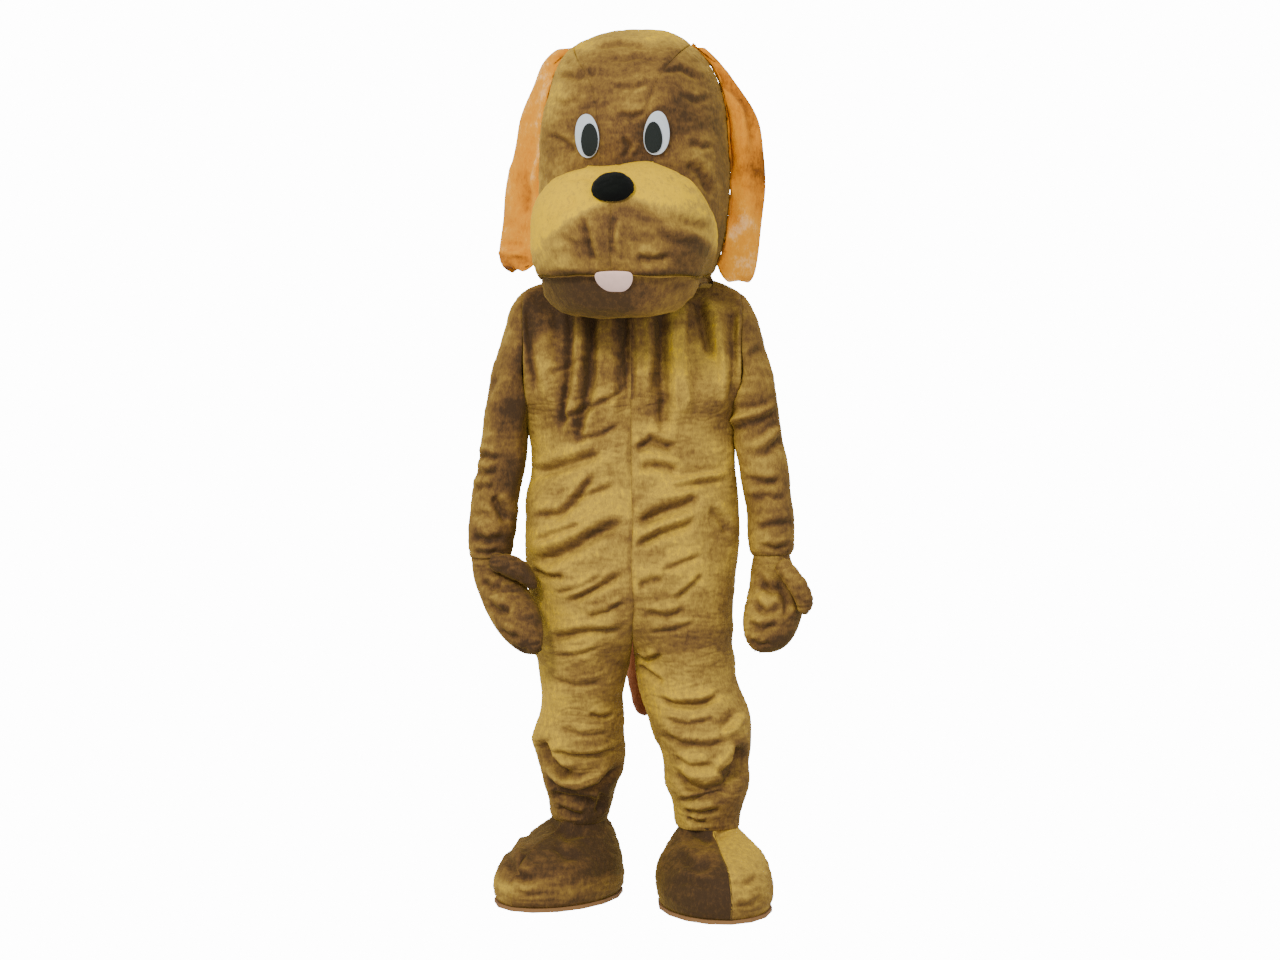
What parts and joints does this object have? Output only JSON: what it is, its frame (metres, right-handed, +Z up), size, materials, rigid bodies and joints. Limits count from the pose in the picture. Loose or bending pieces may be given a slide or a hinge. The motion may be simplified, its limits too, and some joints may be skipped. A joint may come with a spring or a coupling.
{
  "type": "dog mascot costume",
  "caption": "Hollow plush dog costume in its worn pose: gathered jumpsuit, mitts, foot covers, tail and a round head with long hanging ears, padded muzzle, nose and tongue.",
  "frame": {"origin": "midway between the wearer's shoulders, at the height where the costume rests on them, 1.25 m above the floor", "axes": "+Z up, -Y towards the costume's front, +X towards the wearer's left"},
  "size_m": [0.6879, 0.5909, 1.7399],
  "materials": {
    "plush_gold": "crushed golden brown plush",
    "plush_orange": "orange plush, paler along the rims",
    "tail_plush": "red-brown plush",
    "nose_plush": "short black plush",
    "felt_pink": "pale pink felt",
    "satin_white": "cool white satin",
    "satin_black": "dark satin",
    "sole_cloth": "matt brown sole cloth"
  },
  "bodies": {
    "root": {"front_right": "plush_gold", "front_left": "plush_gold", "back_right": "plush_gold", "back_left": "plush_gold", "back_placket": "plush_gold", "neckband": "plush_gold", "sleeve_right": "plush_gold", "sleeve_left": "plush_gold", "head_gusset": "plush_gold", "head_side_right": "plush_gold", "head_side_left": "plush_gold", "head_back": "plush_gold", "muzzle_right": "plush_gold", "muzzle_left": "plush_gold", "muzzle_chin": "plush_gold", "nose": "nose_plush", "tongue": "felt_pink", "eye_white_right": "satin_white", "eye_white_left": "satin_white", "pupil_right": "satin_black", "pupil_left": "satin_black", "ear_front_right": "plush_orange", "ear_back_right": "plush_orange", "ear_front_left": "plush_orange", "ear_back_left": "plush_orange", "mitt_back_right": "plush_gold", "mitt_palm_right": "plush_gold", "mitt_thumb_right": "plush_gold", "mitt_back_left": "plush_gold", "mitt_palm_left": "plush_gold", "mitt_thumb_left": "plush_gold", "foot_outer_right": "plush_gold", "foot_inner_right": "plush_gold", "foot_sole_right": "sole_cloth", "foot_outer_left": "plush_gold", "foot_inner_left": "plush_gold", "foot_sole_left": "sole_cloth", "tail": "tail_plush"}
  },
  "joints": []
}
